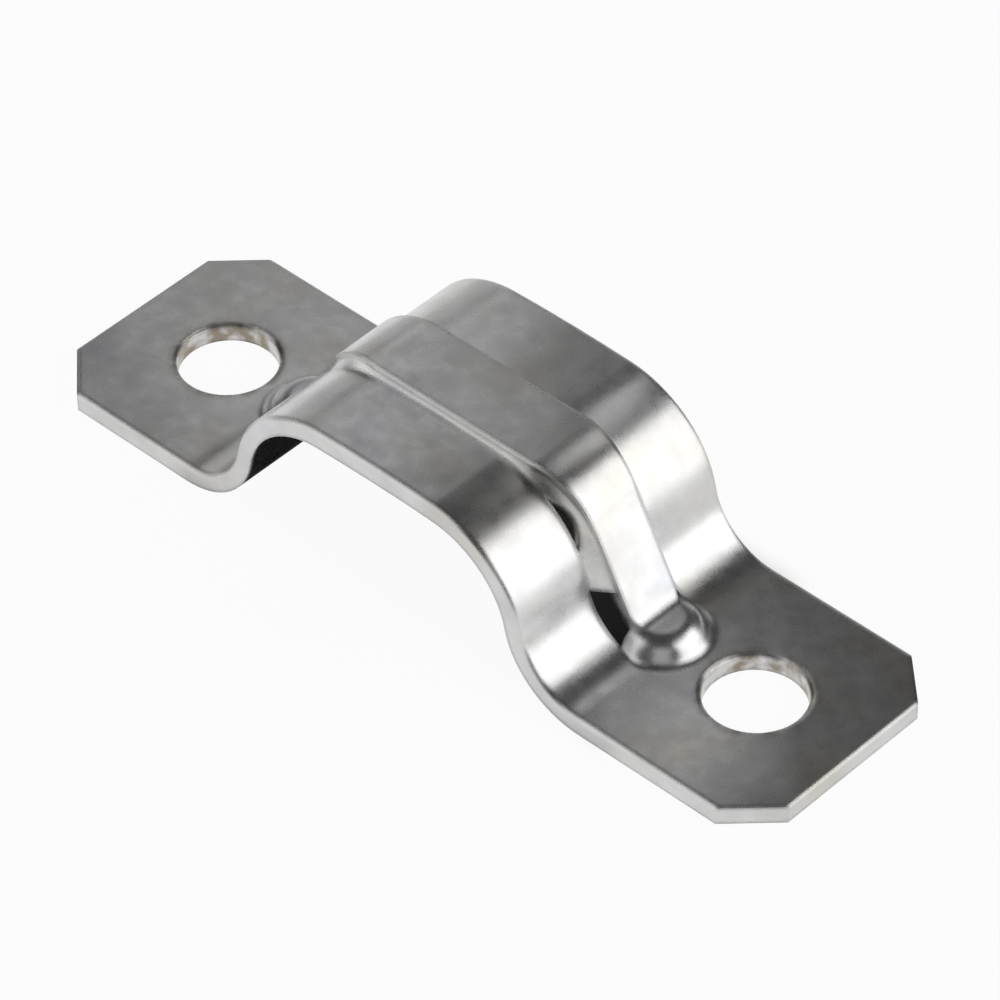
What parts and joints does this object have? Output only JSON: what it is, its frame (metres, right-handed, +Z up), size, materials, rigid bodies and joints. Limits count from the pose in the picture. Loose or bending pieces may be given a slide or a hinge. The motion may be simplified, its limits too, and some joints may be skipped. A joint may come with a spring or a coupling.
{
  "type": "conduit strap",
  "caption": "Low flat-topped steel strap that holds a small conduit or flat cable to a surface, with a raised middle rib and a screw hole in the foot at each end.",
  "frame": {"origin": "middle of the strap on the mounting surface, under the arch, halfway between the ends of the feet", "axes": "+X along the strap from one foot to the other, +Y across the strap (the way the conduit runs), +Z up out of the mounting surface"},
  "size_m": [0.0644, 0.019, 0.0128],
  "materials": {
    "plated_steel": "bright zinc plate, satin, with soft mottling"
  },
  "bodies": {
    "root": {"strap": "plated_steel"}
  },
  "joints": []
}
